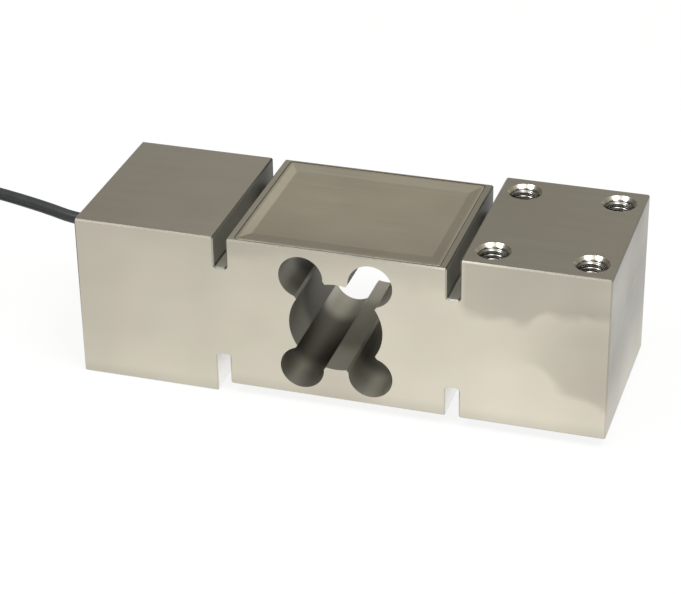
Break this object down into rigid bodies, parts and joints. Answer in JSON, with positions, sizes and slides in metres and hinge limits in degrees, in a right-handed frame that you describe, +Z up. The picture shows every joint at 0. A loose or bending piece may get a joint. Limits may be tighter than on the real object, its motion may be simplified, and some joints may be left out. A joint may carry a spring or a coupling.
{
  "type": "strain gauge load cell",
  "caption": "Single-point steel load cell: bar with relief slots, clover cavity, covered gauge pockets, tapped end blocks and a coiled signal cable.",
  "frame": {"origin": "middle of the base of the beam's box, at the level of the fixed pad's face", "axes": "+X from the fixed end block to the loaded end block, +Y to the back, +Z up along the mounting holes"},
  "size_m": [0.2551, 0.0752, 0.0514],
  "materials": {
    "beam_steel": "milled stainless steel, satin",
    "cover_steel": "pressed stainless sheet, satin",
    "bush_steel": "turned stainless steel",
    "gauge_foil": "amber polyimide film with a metal foil grid",
    "circuit_board": "green glass-epoxy board",
    "solder": "soft solder on copper pads",
    "resistor_body": "black resistor chip",
    "enamelled_copper": "enamelled copper wire",
    "bridge_wire_sleeve": "thin insulated wire",
    "core_red": "insulated core",
    "core_black": "insulated core",
    "core_green": "insulated core",
    "core_white": "insulated core",
    "boot_rubber": "moulded black rubber",
    "potting_resin": "cast resin",
    "cable_jacket": "soft black jacket, slight sheen",
    "tie_plastic": "moulded nylon",
    "shrink_sleeve": "shrunk black sleeve",
    "tinned_copper": "tinned copper strands"
  },
  "bodies": {
    "root": {"beam_body": "beam_steel", "top_cover": "cover_steel", "bottom_cover": "cover_steel", "strain_gauge_top_left": "gauge_foil", "strain_gauge_top_right": "gauge_foil", "strain_gauge_bottom_left": "gauge_foil", "strain_gauge_bottom_right": "gauge_foil", "terminal_board_top": "circuit_board", "terminal_board_bottom": "circuit_board", "solder_posts_top": "solder", "solder_posts_bottom": "solder", "span_resistor": "resistor_body", "zero_balance_resistor": "resistor_body", "gauge_leads_top": "enamelled_copper", "gauge_leads_bottom": "enamelled_copper", "bridge_wires": "bridge_wire_sleeve", "cable_core_red": "core_red", "cable_core_black": "core_black", "cable_core_green": "core_green", "cable_core_white": "core_white", "cable_bush": "bush_steel", "cable_boot": "boot_rubber", "entry_potting": "potting_resin", "signal_cable": "cable_jacket", "cable_coil": "cable_jacket", "cable_tail": "cable_jacket", "coil_tie": "tie_plastic", "end_sleeve": "shrink_sleeve", "end_lead_red": "core_red", "end_lead_black": "core_black", "end_lead_green": "core_green", "end_lead_white": "core_white", "end_lead_shield": "tinned_copper", "end_lead_tips": "tinned_copper"}
  },
  "joints": []
}
